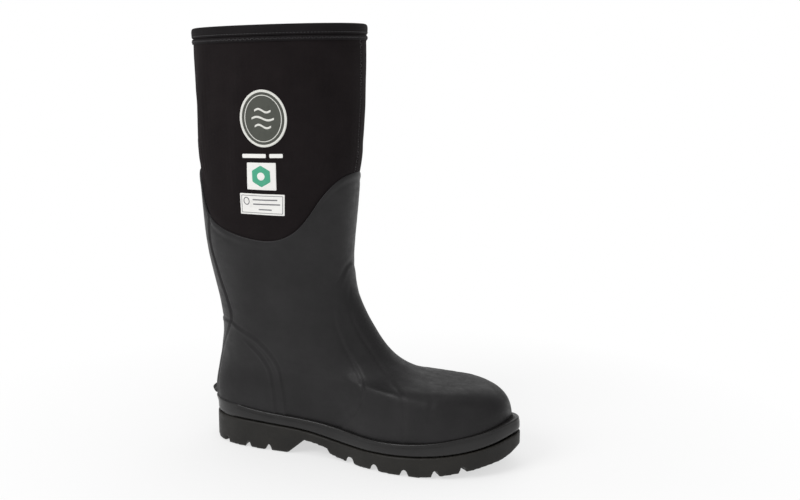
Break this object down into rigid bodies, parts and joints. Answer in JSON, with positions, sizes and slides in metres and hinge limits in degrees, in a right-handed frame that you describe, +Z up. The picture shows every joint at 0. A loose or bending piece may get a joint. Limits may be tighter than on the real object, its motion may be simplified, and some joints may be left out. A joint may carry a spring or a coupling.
{
  "type": "work boot",
  "caption": "Tall waterproof work boot with lugged sole, moulded rubber foot and ankle shell, soft foam bootie leg, bound collar and protective toe cap.",
  "frame": {"origin": "centre of the boot's footprint box, on the ground", "axes": "+X towards the toe, +Y towards the inner side of a right foot, +Z up the leg"},
  "size_m": [0.33, 0.1218, 0.4106],
  "materials": {
    "sole_rubber": "matte moulded",
    "foxing_rubber": "satin",
    "shell_rubber": "satin, fine grained",
    "neoprene": "matte knit faced foam",
    "lining_mesh": "open mesh",
    "binding_tape": "ribbed stretch tape",
    "cap_steel": "pressed, coated",
    "plate_steel": "rolled",
    "edge_strip": "soft",
    "stiffener": "matt",
    "midsole_foam": "fine foam",
    "board": "fibre board",
    "footbed_fabric": "knit",
    "badge_fill": "satin moulded",
    "badge_white": "satin",
    "print_white": "satin film",
    "print_green": "satin film",
    "print_grey": "printed"
  },
  "bodies": {
    "foot": {"outsole": "sole_rubber", "foxing_strip": "foxing_rubber", "heel_kick_spur": "foxing_rubber", "foot_shell": "shell_rubber", "ankle_shell": "shell_rubber", "heel_counter_overlay": "shell_rubber", "achilles_overlay": "shell_rubber", "vamp_overlay": "shell_rubber", "steel_toe_cap": "cap_steel", "toe_cap_edge_strip": "edge_strip", "heel_stiffener": "stiffener", "puncture_plate": "plate_steel", "steel_shank": "plate_steel", "midsole": "midsole_foam", "insole_board": "board", "bootie_foot": "neoprene", "bootie_ankle": "neoprene", "lining_foot": "lining_mesh", "lining_ankle": "lining_mesh"},
    "shaft": {"leg_shell": "shell_rubber", "bootie_leg": "neoprene", "lining_leg": "lining_mesh", "collar_binding": "binding_tape", "collar_tape": "binding_tape", "badge_patch": "badge_fill", "badge_border": "badge_white", "name_bar": "print_white", "safety_label": "print_white", "safety_emblem": "print_green", "info_label": "print_white", "info_label_lines": "print_grey"},
    "footbed": {"footbed_foam": "midsole_foam", "footbed_cover": "footbed_fabric"}
  },
  "joints": [
    {"name": "ankle_flex", "type": "hinge", "parent": "foot", "child": "shaft", "pos_m": [-0.08603, 0, 0.118], "axis": [0, 1, 0], "range_deg": [-15, 20], "stiffness_Nm_per_rad": 8, "deforming": ["ankle_shell", "bootie_ankle", "lining_ankle", "achilles_overlay", "vamp_overlay"]},
    {"name": "footbed_lift", "type": "hinge", "parent": "foot", "child": "footbed", "pos_m": [0.13997, 0, 0.037], "axis": [0, 1, 0], "range_deg": [0, 3]}
  ]
}
